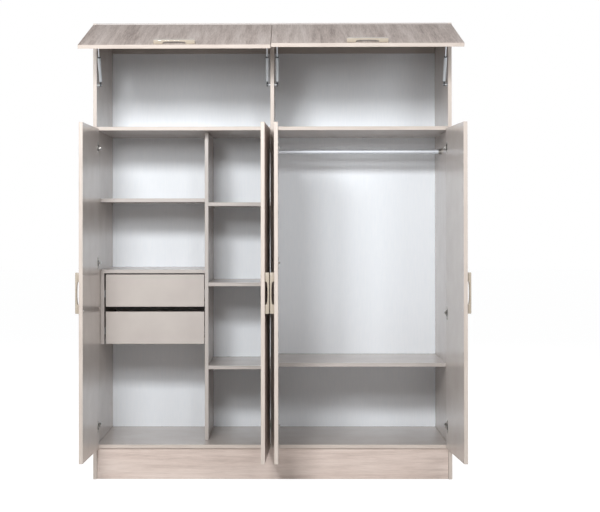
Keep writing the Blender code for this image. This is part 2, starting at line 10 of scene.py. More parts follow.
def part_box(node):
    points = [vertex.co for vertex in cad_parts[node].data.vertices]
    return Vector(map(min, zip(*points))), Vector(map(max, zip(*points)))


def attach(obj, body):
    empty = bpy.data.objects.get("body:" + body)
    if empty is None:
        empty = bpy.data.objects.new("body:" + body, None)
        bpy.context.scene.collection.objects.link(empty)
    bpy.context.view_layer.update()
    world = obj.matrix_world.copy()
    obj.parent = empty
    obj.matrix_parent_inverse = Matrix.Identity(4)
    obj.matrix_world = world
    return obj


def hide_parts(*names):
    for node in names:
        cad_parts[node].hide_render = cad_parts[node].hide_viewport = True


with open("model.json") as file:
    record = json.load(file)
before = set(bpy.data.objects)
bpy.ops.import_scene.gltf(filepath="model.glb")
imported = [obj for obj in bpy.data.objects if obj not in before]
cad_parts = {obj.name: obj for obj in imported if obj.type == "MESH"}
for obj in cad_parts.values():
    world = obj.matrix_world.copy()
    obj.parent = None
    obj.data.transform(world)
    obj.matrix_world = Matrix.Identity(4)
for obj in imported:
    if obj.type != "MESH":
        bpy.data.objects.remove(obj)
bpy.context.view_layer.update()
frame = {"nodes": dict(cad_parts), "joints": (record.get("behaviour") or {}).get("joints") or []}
nodes = frame["nodes"]
joints = {joint["name"]: joint for joint in frame["joints"]}
print("frame loaded:", len(nodes), "nodes")

# everything is in metres, +Z up, the doors on the -Y side
board = 0.018
doorWidth = 0.4345
flapLength = 0.511
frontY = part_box("bottom_panel")[0].y
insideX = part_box("bottom_panel")[1].x
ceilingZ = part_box("top_rear_rail_left")[1].z
sharpAngle = math.radians(40)  # edges that turn more than this stay crisp


# colours and nodes

def fromHex(text):
    channels = [int(text[i:i + 2], 16) / 255 for i in (1, 3, 5)]
    return tuple(c / 12.92 if c <= 0.04045 else ((c + 0.055) / 1.055) ** 2.4 for c in channels) + (1.0,)


def addNode(tree, kind, inputs=None, **settings):
    node = tree.nodes.new("ShaderNode" + kind)
    for key, value in settings.items():
        setattr(node, key, value)
    for key, value in (inputs or {}).items():
        if isinstance(value, bpy.types.NodeSocket):
            tree.links.new(value, node.inputs[key])
        else:
            node.inputs[key].default_value = value
    return node


def startMaterial(name, **values):
    material = bpy.data.materials.new(name)
    material.use_nodes = True
    tree = material.node_tree
    shader = tree.nodes["Principled BSDF"]
    for key, value in values.items():
        shader.inputs[key.replace("_", " ")].default_value = value
    return material, tree, shader


def feed(tree, shader, **sources):
    # links patterns to the shader, with _ for the space in a socket's name
    for key, source in sources.items():
        tree.links.new(source, shader.inputs[key.replace("_", " ")])


def setRamp(ramp, stops):
    elements = ramp.color_ramp.elements
    while len(elements) < len(stops):
        elements.new(0.5)
    for element, (place, colour) in zip(elements, stops):
        element.position = place
        element.color = fromHex(colour)
    return ramp.outputs["Color"]


grainSqueeze = 0.06  # along the grain, so that streaks are about 16 times as long as they are wide


def grainSpace(tree, along, tilt):
    # turns the coordinates so that the grain runs along Z, then squeezes Z
    turns = {"X": (0, math.pi / 2, 0), "Y": (math.pi / 2, 0, 0), "Z": (tilt, 0, 0)}
    place = addNode(tree, "TexCoord").outputs["Object"]
    turned = addNode(tree, "Mapping", {"Vector": place, "Rotation": turns[along]}).outputs["Vector"]
    return addNode(tree, "Mapping", {"Vector": turned, "Scale": (1.0, 1.0, grainSqueeze)}).outputs["Vector"]


# each layer of the oak print is a noise and its share of the tone. Planks change tone every 160 mm, growth
# bands every 26 mm and fibres every 4 mm. Pores are drawn 2 mm wide, where the real ones have 0.3 mm
oakPrint = {
    "base": -0.02,
    "layers": {
        "planks": ({"Scale": 6.0, "Detail": 2.0, "Distortion": 0.4}, 0.30),
        "bands": ({"Scale": 38.0, "Detail": 5.0, "Roughness": 0.62, "Distortion": 0.3}, 0.40),
        "fibres": ({"Scale": 250.0, "Detail": 3.0, "Roughness": 0.7}, 0.28),
        "pores": ({"Scale": 520.0, "Detail": 2.0, "Roughness": 0.7}, 0.06),
    },
    "stops": (0.36, 0.45, 0.53, 0.63),
    "tones": {
        "X": ("#b9a79d", "#c8b6ac", "#d3c2b8", "#dccdc4"),  # the plinth's strip: calmer print, and paler tones that are painted light from the floor's bounce
        "Z": ("#8a7b74", "#b3a39b", "#cabbb3", "#dccfc8"),
    },
}


@cache
def embossedOakFoil(along, tilt):
    # printed oak foil with pressed pores: soft beige-grey streaks, matt, with a gloss that varies finely
    material, tree, shader = startMaterial(f"embossed oak foil {along} {tilt:.2f}", Specular_IOR_Level=0.25)
    space = grainSpace(tree, along, tilt)
    tone = oakPrint["base"]
    for noise, share in oakPrint["layers"].values():
        layer = addNode(tree, "TexNoise", {"Vector": space, **noise}).outputs["Fac"]
        tone = addNode(tree, "Math", {0: layer, 1: share, 2: tone}, operation="MULTIPLY_ADD").outputs[0]
    ramp = addNode(tree, "ValToRGB", {"Fac": tone})
    colour = setRamp(ramp, list(zip(oakPrint["stops"], oakPrint["tones"][along])))
    # the last layer, the pores, is pressed into the foil too
    matt = addNode(tree, "MapRange", {"Value": layer, "To Min": 0.64, "To Max": 0.54})
    bump = addNode(tree, "Bump", {"Height": layer, "Strength": 0.3, "Distance": 0.0003})
    feed(tree, shader, Base_Color=colour, Roughness=matt.outputs["Result"], Normal=bump.outputs["Normal"])
    return material


@cache
def edgeBand(name, dark, light, along, tilt):
    # 0.8 mm plastic band glued on the board's edge: one calm tone, half matt, with a faint grain drawn 6 mm
    # wide, where the real one has about 1 mm
    material, tree, shader = startMaterial(f"{name} {along} {tilt:.2f}", Roughness=0.42, IOR=1.5)
    space = grainSpace(tree, along, tilt)
    streaks = addNode(tree, "TexNoise", {"Vector": space, "Scale": 160.0, "Detail": 3.0, "Roughness": 0.6})
    ramp = addNode(tree, "ValToRGB", {"Fac": streaks.outputs["Fac"]})
    bump = addNode(tree, "Bump", {"Height": streaks.outputs["Fac"], "Strength": 0.12, "Distance": 0.0003})
    feed(tree, shader, Base_Color=setRamp(ramp, [(0.30, dark), (0.70, light)]), Normal=bump.outputs["Normal"])
    return material


def cashmereMelamine():
    # melamine paper pressed on chipboard with a pearl plate: even grey-beige, softly glossy, fine dimples
    material, tree, shader = startMaterial("pearl cashmere melamine", IOR=1.5)
    place = addNode(tree, "TexCoord").outputs["Object"]
    # clouding about 120 mm across, dimples drawn 2.2 mm wide because the real 0.6 mm ones would vanish
    clouds = addNode(tree, "TexNoise", {"Vector": place, "Scale": 8.0, "Detail": 3.0})
    dimples = addNode(tree, "TexNoise", {"Vector": place, "Scale": 450.0, "Detail": 1.0}).outputs["Fac"]
    ramp = addNode(tree, "ValToRGB", {"Fac": clouds.outputs["Fac"]})
    colour = setRamp(ramp, [(0.30, "#b7ada7"), (0.70, "#beb5ae")])
    gloss = addNode(tree, "MapRange", {"Value": dimples, "To Min": 0.25, "To Max": 0.17})
    bump = addNode(tree, "Bump", {"Height": dimples, "Strength": 0.18, "Distance": 0.0004})
    feed(tree, shader, Base_Color=colour, Roughness=gloss.outputs["Result"], Normal=bump.outputs["Normal"])
    return material


def lacqueredHardboard():
    # white lacquer rolled on hardboard: cool white, smooth, with a faint ripple 8 mm wide along the roller
    material, tree, shader = startMaterial("white lacquered hardboard", Roughness=0.4, IOR=1.48)
    place = addNode(tree, "TexCoord").outputs["Object"]
    rolled = addNode(tree, "Mapping", {"Vector": place, "Scale": (1.0, 1.0, 0.1)}).outputs["Vector"]
    ripple = addNode(tree, "TexNoise", {"Vector": rolled, "Scale": 120.0, "Detail": 2.0}).outputs["Fac"]
    colour = setRamp(addNode(tree, "ValToRGB", {"Fac": ripple}), [(0.3, "#eef1f5"), (0.7, "#f2f4f7")])
    bump = addNode(tree, "Bump", {"Height": ripple, "Strength": 0.06, "Distance": 0.0004})
    feed(tree, shader, Base_Color=colour, Normal=bump.outputs["Normal"])
    return material


def screenBackHardboard():
    # the raw rear of wet-pressed hardboard: brown fibres in 11 mm flocks, with the mesh of the wire screen
    material, tree, shader = startMaterial("raw screen-back hardboard", Roughness=0.8, IOR=1.4)
    place = addNode(tree, "TexCoord").outputs["Object"]
    fibres = addNode(tree, "TexNoise", {"Vector": place, "Scale": 90.0, "Detail": 6.0, "Roughness": 0.7})
    ramp = addNode(tree, "ValToRGB", {"Fac": fibres.outputs["Fac"]})
    colour = setRamp(ramp, [(0.3, "#6f5238"), (0.5, "#8a6a4b"), (0.72, "#a3835f")])
    # the real mesh is 1.5 mm wide, drawn 4 mm wide so that it shows
    mesh = addNode(tree, "TexVoronoi", {"Vector": place, "Scale": 250.0}, feature="F1")
    bump = addNode(tree, "Bump", {"Height": mesh.outputs["Distance"], "Strength": 0.5, "Distance": 0.0005})
    feed(tree, shader, Base_Color=colour, Normal=bump.outputs["Normal"])
    return material


def platedMetal(name, dark, light, rough, grainScale):
    # plated steel: a clean metal whose tone and gloss wander a little, every 5 mm on zinc, 3 mm on nickel
    # and 17 mm along the rail
    material, tree, shader = startMaterial(name, Metallic=1.0, Roughness=rough)
    place = addNode(tree, "TexCoord").outputs["Object"]
    noise = {"Vector": place, "Scale": grainScale, "Detail": 3.0, "Roughness": 0.6}
    grain = addNode(tree, "TexNoise", noise).outputs["Fac"]
    colour = setRamp(addNode(tree, "ValToRGB", {"Fac": grain}), [(0.3, dark), (0.7, light)])
    gloss = addNode(tree, "MapRange", {"Value": grain, "To Min": rough * 0.8, "To Max": rough * 1.25})
    feed(tree, shader, Base_Color=colour, Roughness=gloss.outputs["Result"])
    return material


def mouldedPlastic(name, dark, light, rough, coat=0.0):
    # moulded plastic or lacquer: a fine texture that breaks up its gloss, drawn 1 mm wide where the real
    # one has about 0.2 mm
    material, tree, shader = startMaterial(name, Roughness=rough, IOR=1.5, Coat_Weight=coat)
    place = addNode(tree, "TexCoord").outputs["Object"]
    texture = addNode(tree, "TexNoise", {"Vector": place, "Scale": 900.0, "Detail": 2.0}).outputs["Fac"]
    colour = setRamp(addNode(tree, "ValToRGB", {"Fac": texture}), [(0.3, dark), (0.7, light)])
    bump = addNode(tree, "Bump", {"Height": texture, "Strength": 0.2, "Distance": 0.0002})
    feed(tree, shader, Base_Color=colour, Normal=bump.outputs["Normal"])
    return material


oakEdgeBand = partial(edgeBand, "oak edge band", "#baaca2", "#c8bbb1")
cashmereEdgeBand = partial(edgeBand, "cashmere edge band", "#afa59f", "#bbb2ac")
melamine = cashmereMelamine()
whiteBoard = lacqueredHardboard()
rawBoard = screenBackHardboard()
# bright zinc on runners and studs, nickel on hinges and screws in a darker tone that is partly painted shade,
# satin chrome with a broad highlight
zincSteel = platedMetal("zinc plated steel", "#a9abad", "#c3c5c7", 0.34, 220.0)
# the nickel's dark tone paints in the shade that the hinge arms stand in
nickelSteel = platedMetal("nickel plated steel", "#8c8985", "#a29f9a", 0.32, 300.0)
chromeTube = platedMetal("satin chromed steel tube", "#d3d6db", "#dfe1e5", 0.68, 60.0)
# the handles have a clear coat over warm champagne lacquer
satinZinc = mouldedPlastic("champagne lacquered zinc casting", "#a29585", "#aea190", 0.3, 0.6)
greyLacquer = mouldedPlastic("silver lacquered steel", "#b7b9bc", "#c6c8ca", 0.32)
blackPlastic = mouldedPlastic("black moulded polyamide", "#1d2024", "#2a2e33", 0.45)
print("materials ready")


# carried-over nodes

def setMaterials(mesh, materials):
    mesh.materials.clear()
    for material in materials:
        mesh.materials.append(material)


def forGrain(finish, along, tilt):
    # foil and edge bands are made for the way the grain runs, the other finishes have none
    return finish(along, tilt) if callable(finish) else finish


def largestNormal(mesh):
    # the board's broad side: faces are grouped by direction, and the biggest face of the winning group
    # gives the direction exactly
    groups = {}
    for face in mesh.polygons:
        groups.setdefault(tuple(round(c, 1) for c in face.normal), []).append(face)
    broad = max((groups[key] for key in sorted(groups)), key=lambda group: sum(face.area for face in group))
    return max(broad, key=lambda face: face.area).normal.copy()


def axisWord(way):
    return "XYZ"[max(range(3), key=lambda i: abs(way[i]))]


# a broad face has more than this area in square metres. The others are told apart by how near they lie to
# the slab's faces and to its rim
sorting = {"broadArea": 0.004, "nearFace": 1e-4, "nearRim": 0.0012}


def paintBoard(name, frontFace, rearFace, band, outward=(0, 0, 1), grain="Z", tilt=0.0):
    # outward points to the side that gets frontFace; what stands off the slab or is sunk in it is steel
    mesh = nodes[name].data
    normal = largestNormal(mesh)
    if normal.dot(Vector(outward)) < 0:
        normal = -normal
    broad = [
        face.center.dot(normal) for face in mesh.polygons
        if abs(face.normal.dot(normal)) > 0.999 and face.area > sorting["broadArea"]
    ]
    low, high, near = min(broad), max(broad), sorting["nearFace"]
    first = Vector((1, 0, 0)) if abs(normal.x) < 0.5 else Vector((0, 0, 1))
    first = (first - normal * first.dot(normal)).normalized()
    second = normal.cross(first)
    spans = []
    for way in (first, second):
        reach = [v.co.dot(way) for v in mesh.vertices if low - near < v.co.dot(normal) < high + near]
        spans.append((way, min(reach), max(reach)))
    setMaterials(mesh, [
        forGrain(frontFace, grain, tilt), forGrain(rearFace, grain, tilt),
        forGrain(band, axisWord(first), tilt), forGrain(band, axisWord(second), tilt), nickelSteel,
    ])
    front, rear, bandAlongFirst, bandAlongSecond, steel = range(5)
    for face in mesh.polygons:
        place, facing = face.center.dot(normal), face.normal.dot(normal)
        atFirstRim, atSecondRim = (
            min(face.center.dot(way) - start, end - face.center.dot(way)) < sorting["nearRim"]
            for way, start, end in spans
        )
        if place > high + near or place < low - near:
            face.material_index = steel
        elif facing > 0.99 and place > high - near:
            face.material_index = front
        elif facing < -0.99 and place < low + near:
            face.material_index = rear
        elif atFirstRim:
            face.material_index = bandAlongSecond
        elif atSecondRim:
            face.material_index = bandAlongFirst
        else:
            face.material_index = steel


def restTurn(jointName):
    # how far a door or flap is opened in the photograph
    return math.radians(-joints[jointName]["range_deg"][0])


def restPlace(jointName):
    # a moving body's own frame, as it stands when shut, turned to the pose of the photograph
    joint = joints[jointName]
    return Matrix.Translation(joint["pos_m"]) @ Matrix.Rotation(restTurn(jointName), 4, Vector(joint["axis"]))


narrowShelves = ["narrow_shelf_upper", "narrow_shelf_middle", "narrow_shelf_lower"]
for band, names in (
    (oakEdgeBand, ["fixed_shelf_left", "fixed_shelf_right", "centre_partition", "bottom_panel"]),
    (cashmereEdgeBand, [
        "top_panel", "top_rear_rail_left", "top_rear_rail_right", "plinth_rear", "plinth_support",
        "inner_partition", "shelf_left", "shelf_right", *narrowShelves,
        "drawer_unit_top", "drawer_spacer", "drawer_upper_front", "drawer_lower_front",
    ]),
):
    for name in names:
        paintBoard(name, melamine, melamine, band)
paintBoard("plinth_front", embossedOakFoil, melamine, oakEdgeBand, (0, -1, 0), "X")
for level in ("upper", "lower"):
    paintBoard(f"drawer_{level}_bottom", whiteBoard, rawBoard, rawBoard)
for side, way in (("left", -1), ("right", 1)):
    paintBoard(f"{side}_side_panel", embossedOakFoil, melamine, oakEdgeBand, (way, 0, 0))
    paintBoard(f"back_panel_{side}", whiteBoard, rawBoard, rawBoard, (0, -1, 0))
    outward = restPlace(f"flap_{side}_hinge").to_3x3() @ Vector((0, -1, 0))
    turn = restTurn(f"flap_{side}_hinge")
    paintBoard(f"flap_{side}_panel", embossedOakFoil, melamine, oakEdgeBand, outward, "Z", turn)
for number in range(1, 5):
    outward = restPlace(f"door_{number}_hinge").to_3x3() @ Vector((0, -1, 0))
    paintBoard(f"door_{number}_panel", embossedOakFoil, melamine, oakEdgeBand, outward)

slideDepth = 0.0057  # just less than the slides stand off the drawer's sides
for name, ob in nodes.items():
    if name.startswith("runner"):
        setMaterials(ob.data, [zincSteel])
    if name.endswith("_box"):
        low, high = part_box(name)
        setMaterials(ob.data, [melamine, zincSteel])
        for face in ob.data.polygons:
            face.material_index = int(min(face.center.x - low.x, high.x - face.center.x) < slideDepth)
print("boards painted")


# pieces

def placed(bm, matrix):
    bmesh.ops.transform(bm, matrix=matrix, verts=bm.verts)
    return bm


def joinInto(target, source, matrix=Matrix.Identity(4)):
    mesh = bpy.data.meshes.new("part")
    placed(source, matrix).to_mesh(mesh)
    source.free()
    target.from_mesh(mesh)
    bpy.data.meshes.remove(mesh)


def addPiece(name, bm, material, body, replaced=()):
    bmesh.ops.recalc_face_normals(bm, faces=bm.faces)
    mesh = bpy.data.meshes.new(name)
    bm.to_mesh(mesh)
    bm.free()
    mesh.materials.append(material)
    mesh.shade_smooth()
    mesh.set_sharp_from_angle(angle=sharpAngle)
    piece = bpy.data.objects.new(name, mesh)
    bpy.context.scene.collection.objects.link(piece)
    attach(piece, body)
    if replaced:
        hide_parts(*replaced)


def spunShape(profile, sides):
    # (radius, height) points turned once round Z
    bm = bmesh.new()
    verts = [bm.verts.new((radius, 0, height)) for radius, height in profile]
    edges = [bm.edges.new(pair) for pair in zip(verts, verts[1:])]
    bmesh.ops.spin(
        bm, geom=verts + edges, cent=(0, 0, 0), axis=(0, 0, 1), angle=math.tau, steps=sides, use_merge=True
    )
    bmesh.ops.remove_doubles(bm, verts=bm.verts, dist=1e-6)
    return bm


def raised(points, height):
    return [(radius, height + z) for radius, z in points]


def easedBox(size, centre, width):
    bm = bmesh.new()
    bmesh.ops.create_cube(bm, size=1.0)
    bmesh.ops.scale(bm, vec=size, verts=bm.verts)
    bmesh.ops.bevel(bm, geom=bm.edges[:], offset=width, segments=2, profile=0.5, affect="EDGES", material=-1)
    bmesh.ops.translate(bm, vec=centre, verts=bm.verts)
    return bm


# shares of the head's radius and height
panHead = {
    "top": 0.86, "crossReach": 0.55, "crossHalf": 0.13, "crossDepth": 0.75, "crossTaper": 0.8, "flare": 0.45,
}


def screwHead(radius, height):
    # a pan head with a cross recess, standing on Z = 0
    reach, half = panHead["crossReach"], panHead["crossHalf"]
    shares = (-1.0, -reach, -half, half, reach, 1.0)
    middle = len(shares) / 2 - 0.5
    bm = bmesh.new()
    bmesh.ops.create_grid(bm, x_segments=len(shares) - 1, y_segments=len(shares) - 1, size=middle)
    rim = [v for v in bm.verts if max(abs(v.co.x), abs(v.co.y)) > middle - 0.5]
    for v in bm.verts:
        x, y = shares[round(v.co.x + middle)], shares[round(v.co.y + middle)]
        v.co = (x * radius, y * radius, height)
    for v in rim:
        v.co.xy = v.co.xy.normalized() * radius * panHead["top"]
    cross = []
    for face in bm.faces:
        x, y = (abs(c) / radius for c in face.calc_center_median().xy)
        if max(x, y) < reach and min(x, y) < half:
            cross.append(face)
    sunk = bmesh.ops.extrude_face_region(bm, geom=cross)
    bmesh.ops.delete(bm, geom=cross, context="FACES_ONLY")
    low = [g for g in sunk["geom"] if isinstance(g, bmesh.types.BMVert)]
    bmesh.ops.translate(bm, vec=(0, 0, -height * panHead["crossDepth"]), verts=low)
    bmesh.ops.scale(bm, vec=(panHead["crossTaper"], panHead["crossTaper"], 1.0), verts=low)
    side = [e for e in bm.edges if e.is_boundary]
    for widen, drop in ((1 / panHead["top"], panHead["flare"]), (1.0, 1.0 - panHead["flare"])):
        grown = bmesh.ops.extrude_edge_only(bm, edges=side)["geom"]
        verts = [g for g in grown if isinstance(g, bmesh.types.BMVert)]
        side = [g for g in grown if isinstance(g, bmesh.types.BMEdge) and g.is_boundary]
        bmesh.ops.scale(bm, vec=(widen, widen, 1.0), verts=verts)
        bmesh.ops.translate(bm, vec=(0, 0, -height * drop), verts=verts)
    bmesh.ops.holes_fill(bm, edges=side, sides=0)
    return bm


handle = {
    "rounding": 0.0009, "roundingSteps": 3, "fromEdge": 0.024, "height": 0.929,
    "screwSpacing": 0.160, "screwRadius": 0.004, "screwHeight": 0.0018,
}


def addHandles():
    # the solid's own bow, with its doubles merged and its sharp edges rounded
    for name in sorted(nodes):
        if not name.endswith("_handle"):
            continue
        bm = bmesh.new()
        bm.from_mesh(nodes[name].data)
        bmesh.ops.remove_doubles(bm, verts=bm.verts, dist=1e-6)
        bmesh.ops.dissolve_limit(bm, angle_limit=math.radians(1), verts=bm.verts, edges=bm.edges)
        sharp = [e for e in bm.edges if len(e.link_faces) == 2 and e.calc_face_angle() > sharpAngle]
        bmesh.ops.bevel(
            bm, geom=sharp, offset=handle["rounding"], segments=handle["roundingSteps"], profile=0.5,
            affect="EDGES", material=-1, clamp_overlap=True,
        )
        addPiece(name + "_casting", bm, satinZinc, name.removesuffix("_handle"), [name])


def addHandleScrews(target, base, places):
    # machine screws through the panel from the inside
    for place in places:
        head = screwHead(handle["screwRadius"], handle["screwHeight"])
        joinInto(target, head, base @ Matrix.Translation(place) @ Matrix.Rotation(-math.pi / 2, 4, "X"))


# concealed hinges, in the same places as the cups and arms of the solids
hinge = {
    "cupFromEdge": 0.0225, "axisInset": 0.0102, "flapInset": 0.120,
    "leftDoorHeights": (0.2615, 1.055, 1.615), "rightDoorHeights": (0.2615, 0.810, 1.615),
}

# in both kits a box is its size, centre and easing, and a screw its place, radius and height.
# Two wings on the board and two cheeks in the cup, from the cup's centre on the board's inner face, with +X
# to the free edge and +Y out of the board
cupKit = {
    "boxes": [
        ((0.015, 0.0011, 0.0133), (0.0055, 0.00055, -0.02385), 0.0004),
        ((0.015, 0.0011, 0.0133), (0.0055, 0.00055, 0.02385), 0.0004),
        ((0.020, 0.008, 0.0016), (0.0, -0.0052, -0.0078), 0.0005),
        ((0.020, 0.008, 0.0016), (0.0, -0.0052, 0.0078), 0.0005),
    ],
    "screws": [
        ((0.0055, 0.0011, -0.0245), 0.0035, 0.0012),
        ((0.0055, 0.0011, 0.0245), 0.0035, 0.0012),
    ],
    "screwTurn": Matrix.Rotation(-math.pi / 2, 4, "X"),
}

# the clip and the cover on the arm, its two setting screws, and the plate's two screws, from the wall at
# X = 0 and the cabinet's front at Y = 0
armKit = {
    "boxes": [
        ((0.0016, 0.010, 0.0086), (0.0146, 0.0535, 0.0), 0.0004),
        ((0.0010, 0.026, 0.0066), (0.0143, 0.0340, 0.0), 0.0003),
    ],
    "screws": [
        ((0.0148, 0.0285, 0.0), 0.0029, 0.0008),
        ((0.0148, 0.0415, 0.0), 0.0031, 0.0008),
        ((0.0020, 0.0370, -0.016), 0.0034, 0.0014),
        ((0.0020, 0.0370, 0.016), 0.0034, 0.0014),
    ],
    "screwTurn": Matrix.Rotation(math.pi / 2, 4, "Y"),
}


def addKit(kit, plates, screws, place):
    for size, centre, easing in kit["boxes"]:
        joinInto(plates, easedBox(size, centre, easing), place)
    for spot, radius, height in kit["screws"]:
        joinInto(screws, screwHead(radius, height), place @ Matrix.Translation(spot) @ kit["screwTurn"])


def addHinges():
    wallPlates, wallScrews = bmesh.new(), bmesh.new()

    def addLeaf(body, base, cups, arms, handleScrews):
        plates, screws = bmesh.new(), bmesh.new()
        for cup in cups:
            addKit(cupKit, plates, screws, cup)
        for arm in arms:
            addKit(armKit, wallPlates, wallScrews, arm)
        addHandleScrews(screws, base, handleScrews)
        addPiece(body + "_hinge_cups", plates, nickelSteel, body)
        addPiece(body + "_screws", screws, nickelSteel, body)

    apart = (-handle["screwSpacing"] / 2, handle["screwSpacing"] / 2)
    cupX = hinge["cupFromEdge"] - hinge["axisInset"]
    for number, wallX in enumerate((-insideX, -board / 2, board / 2, insideX), 1):
        joint = joints[f"door_{number}_hinge"]
        base = restPlace(f"door_{number}_hinge") @ Matrix.Translation((0, 0, -joint["pos_m"][2]))
        way = -1 if joint["axis"][2] > 0 else 1  # from the hinge edge to the free edge
        mirror = Matrix.Scale(way, 4, (1, 0, 0))
        heights = hinge["leftDoorHeights"] if way > 0 else hinge["rightDoorHeights"]
        handleX = way * (doorWidth - hinge["axisInset"] - handle["fromEdge"])
        addLeaf(
            f"door_{number}", base,
            [base @ Matrix.Translation((way * cupX, board, z)) @ mirror for z in heights],
            [Matrix.Translation((wallX, frontY, z)) @ mirror for z in heights],
            [(handleX, board, handle["height"] + z) for z in apart],
        )
    across = Matrix.Rotation(math.pi / 2, 4, "Y")
    for side in ("left", "right"):
        base = restPlace(f"flap_{side}_hinge")
        low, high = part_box(f"flap_{side}_panel")
        centre, half = (low.x + high.x) / 2, (high.x - low.x) / 2
        xs = (hinge["flapInset"] - half, half - hinge["flapInset"])
        handleZ = hinge["axisInset"] - flapLength + handle["fromEdge"]
        addLeaf(
            f"flap_{side}", base,
            [base @ Matrix.Translation((x, board, -cupX)) @ across for x in xs],
            [Matrix.Translation((centre + x, frontY, ceilingZ)) @ across for x in xs],
            [(x, board, handleZ) for x in apart],
        )
    addPiece("hinge_arm_covers", wallPlates, nickelSteel, "carcass")
    addPiece("hinge_arm_screws", wallScrews, zincSteel, "carcass")


addHandles()
addHinges()
print("handles and hinges made")


strut = {
    "onFlap": 0.075, "standoff": 0.018, "fit": 0.0003,
    "eye": 0.007, "eyeWidth": 0.006, "eyeSoft": 0.0012, "eyeChamfer": 0.00036, "pin": 0.003,
    "radius": 0.0075, "neck": 0.012, "length": 0.126, "wall": 0.001, "inner": 0.0041, "floor": 0.004,
    "cap": 0.005, "capRadius": 0.0073, "capTop": 0.006, "capSoft": 0.0015,
    "rod": 0.003, "overlap": 0.022, "rodEnd": 0.004,
    "tubeSides": 48, "roundSides": 40, "neckSides": 32,
    # (radius, height) points over the lower neck's top, the foot's pin and the flap's pin
    "shoulder": ((0.0046, -0.002), (0.0060, -0.0005), (0.0071, 0.0006), (0.0075, 0.002)),
    "lowerNeck": (
        (0.0, 0.0062), (0.0038, 0.0062), (0.0034, 0.010), (0.0042, 0.016), (0.0060, 0.0175), (0.0060, 0.0186),
        (0.0, 0.0186),
    ),
    "upperNeck": ((0.0031, -0.014), (0.0042, -0.013), (0.0038, -0.006), (0.0031, -0.0055)),
}


def eyeRing(height, inner):
    # a moulded ball socket across X
    r, half, soft, chamfer = strut["eye"], strut["eyeWidth"] / 2, strut["eyeSoft"], strut["eyeChamfer"]
    profile = [(inner, -half), (r - soft, -half), (r - chamfer, chamfer - half), (r, soft - half)]
    profile += [(radius, -z) for radius, z in reversed(profile)]
    if inner:
        profile.append(profile[0])
    place = Matrix.Translation((0, 0, height)) @ Matrix.Rotation(math.pi / 2, 4, "Y")
    return placed(spunShape(profile, strut["roundSides"]), place)


def addStrut(side, word):
    name = f"strut_{side}_{word}"
    cylinder, rod = name + "_cylinder", name + "_rod"
    foot = Vector(joints[name + "_turn"]["pos_m"])
    way = Vector(joints[name + "_slide"]["axis"])
    place = Matrix.Translation(foot) @ Matrix.Rotation(math.atan2(-way.y, way.z), 4, "X")
    flapPin = restPlace(f"flap_{side}_hinge") @ Vector((0, board + strut["standoff"], -strut["onFlap"]))
    flapPin.x = foot.x
    reach = (flapPin - foot).length
    neckTop = strut["eye"] + strut["neck"]
    top = neckTop + strut["length"]
    cap, floor = top - strut["cap"], neckTop + strut["floor"]
    r, inner, bore = strut["radius"], strut["inner"], strut["rod"] + strut["fit"]

    tube = raised(strut["shoulder"], neckTop)
    tube += [(r, cap), (r - strut["wall"], cap), (inner, cap), (inner, floor), (0.0, floor)]
    tube = placed(spunShape(tube, strut["tubeSides"]), place)
    addPiece(name + "_tube", tube, greyLacquer, cylinder, [cylinder])

    fittings = eyeRing(0.0, strut["pin"] + strut["fit"])
    joinInto(fittings, spunShape(strut["lowerNeck"], strut["neckSides"]))
    capRing = [
        (bore, cap), (strut["capRadius"], cap), (strut["capRadius"], top - strut["capSoft"]),
        (strut["capTop"], top), (bore, top), (bore, cap),
    ]
    joinInto(fittings, spunShape(capRing, strut["tubeSides"]))
    addPiece(name + "_fittings", placed(fittings, place), blackPlastic, cylinder)

    start, end = top - strut["overlap"], reach - strut["rodEnd"]
    piston = [(0, start), (strut["rod"], start), (strut["rod"], end), (0, end)]
    piston = placed(spunShape(piston, strut["roundSides"]), place)
    addPiece(name + "_piston", piston, chromeTube, rod, [rod])

    socket = eyeRing(reach, 0.0)
    joinInto(socket, spunShape(raised(strut["upperNeck"], reach), strut["neckSides"]))
    addPiece(name + "_socket", placed(socket, place), blackPlastic, rod)


stud = {
    "fromWall": 0.0155, "seat": 0.0003, "plate": 0.011, "sheet": 0.0025, "soft": 0.0006,
    "shoulder": 0.0045, "head": 0.002, "headRadius": 0.00225, "sides": 40,
}


def addStud(name):
    # a turned stud on the wall, with its pin through the strut's eye
    reach = strut["eyeWidth"] / 2 + strut["fit"]
    near, far = stud["fromWall"] - reach, stud["fromWall"] + reach
    end = far + stud["head"]
    low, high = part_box(name)
    into = 1 if ("left" in name) == ("outer" in name) else -1  # the way from its wall into the bay
    wallX = (low.x if into > 0 else high.x) - into * stud["seat"]
    bm = spunShape([
        (0, stud["seat"]), (stud["plate"], stud["seat"]), (stud["plate"], stud["sheet"] - stud["soft"]),
        (stud["plate"] - stud["soft"], stud["sheet"]), (stud["shoulder"], stud["sheet"]),
        (stud["shoulder"], near), (strut["pin"], near), (strut["pin"], far), (stud["headRadius"], end),
        (0, end),
    ], stud["sides"])
    place = Matrix.Translation((wallX, (low.y + high.y) / 2, (low.z + high.z) / 2))
    place = place @ Matrix.Rotation(into * math.pi / 2, 4, "Y")
    addPiece(name + "_turned", placed(bm, place), zincSteel, "carcass", [name])


for side in ("left", "right"):
    for word in ("outer", "inner"):
        addStrut(side, word)
for name in sorted(nodes):
    if name.endswith("_stud"):
        addStud(name)
print("struts made")


rail = {"wall": 0.0012, "soft": 0.0002, "sides": 64}
flange = {
    "radius": 0.017, "sheet": 0.003, "rounding": 0.0009, "fillet": 0.001,
    "socket": 0.0113, "wall": 0.002, "depth": 0.014, "soft": 0.0006,
    "screws": 3, "screwAt": 0.0151, "screwRadius": 0.0016, "screwHeight": 0.0006, "sides": 56,
}


